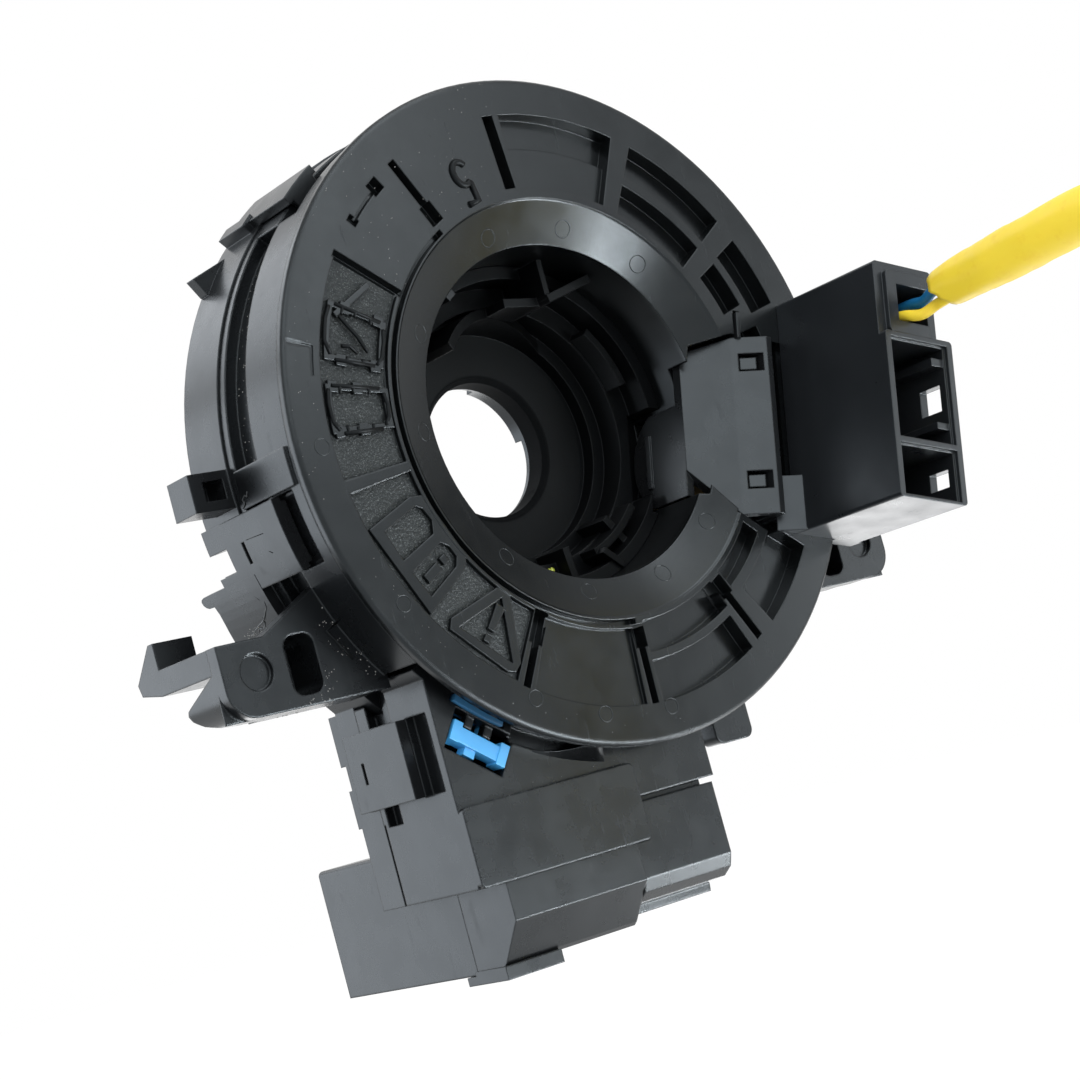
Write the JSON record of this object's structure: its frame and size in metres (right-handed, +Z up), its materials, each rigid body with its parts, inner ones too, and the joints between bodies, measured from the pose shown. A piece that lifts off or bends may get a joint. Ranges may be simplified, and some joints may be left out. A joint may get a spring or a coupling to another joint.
{
  "type": "steering clock spring",
  "caption": "Black steering clock spring with a turning flange, a connector tower with a yellow lead, fixing ears and two rear connectors.",
  "frame": {"origin": "on the turning axis, in the plane where the rear cover seats on the column switch", "axes": "+Y along the turning axis towards the steering column, -Y towards the steering wheel, +Z up as pictured, with the block and its connectors below"},
  "size_m": [0.1204, 0.1265, 0.1195],
  "materials": {
    "case_plastic": "satin",
    "cover_plastic": "satin",
    "rotor_plastic": "satin",
    "blue_plastic": "satin",
    "terminal_metal": "tinned",
    "ribbon_film": "film",
    "wire_blue_skin": "satin",
    "lead_yellow": "satin",
    "plug_yellow": "satin",
    "lock_white": "satin",
    "carrier_plastic": "satin",
    "roller_plastic": "satin"
  },
  "bodies": {
    "stator": {"stator_case": "case_plastic", "rear_cover": "cover_plastic", "blue_retainer": "blue_plastic", "connector_carrier": "cover_plastic", "rear_connector": "case_plastic", "rear_terminals": "terminal_metal", "right_connector": "case_plastic", "right_terminals": "terminal_metal", "flat_cable": "ribbon_film"},
    "rotor": {"rotor_flange": "rotor_plastic", "rotor_hub": "rotor_plastic", "cancel_cam": "cover_plastic", "tower_housing": "rotor_plastic", "tower_cover": "cover_plastic", "tower_terminals_a": "terminal_metal", "tower_terminals_b": "terminal_metal", "wire_blue": "wire_blue_skin", "wire_yellow": "lead_yellow", "airbag_lead": "lead_yellow", "airbag_plug": "plug_yellow", "plug_lock": "lock_white"},
    "carrier": {"roller_carrier": "carrier_plastic"},
    "roller_1": {"roller_1": "roller_plastic"},
    "roller_2": {"roller_2": "roller_plastic"},
    "roller_3": {"roller_3": "roller_plastic"},
    "roller_4": {"roller_4": "roller_plastic"}
  },
  "joints": [
    {"name": "rotor_turn", "type": "hinge", "parent": "stator", "child": "rotor", "pos_m": [0, 0, 0], "axis": [0, 1, 0], "range_deg": [-900, 900]},
    {"name": "carrier_turn", "type": "hinge", "parent": "stator", "child": "carrier", "pos_m": [0, 0, 0], "axis": [0, 1, 0], "range_deg": [-360, 360]},
    {"name": "roller_1_turn", "type": "hinge", "parent": "carrier", "child": "roller_1", "pos_m": [0.02475, -0.013, 0.02475], "axis": [0, 1, 0], "continuous": true},
    {"name": "roller_2_turn", "type": "hinge", "parent": "carrier", "child": "roller_2", "pos_m": [-0.02475, -0.013, 0.02475], "axis": [0, 1, 0], "continuous": true},
    {"name": "roller_3_turn", "type": "hinge", "parent": "carrier", "child": "roller_3", "pos_m": [-0.02475, -0.013, -0.02475], "axis": [0, 1, 0], "continuous": true},
    {"name": "roller_4_turn", "type": "hinge", "parent": "carrier", "child": "roller_4", "pos_m": [0.02475, -0.013, -0.02475], "axis": [0, 1, 0], "continuous": true}
  ],
  "couplings": [
    {"joint": "carrier_turn", "follows": "rotor_turn", "ratio": 0.4},
    {"joint": "roller_1_turn", "follows": "rotor_turn", "ratio": -2.8},
    {"joint": "roller_2_turn", "follows": "rotor_turn", "ratio": -2.8},
    {"joint": "roller_3_turn", "follows": "rotor_turn", "ratio": -2.8},
    {"joint": "roller_4_turn", "follows": "rotor_turn", "ratio": -2.8}
  ]
}
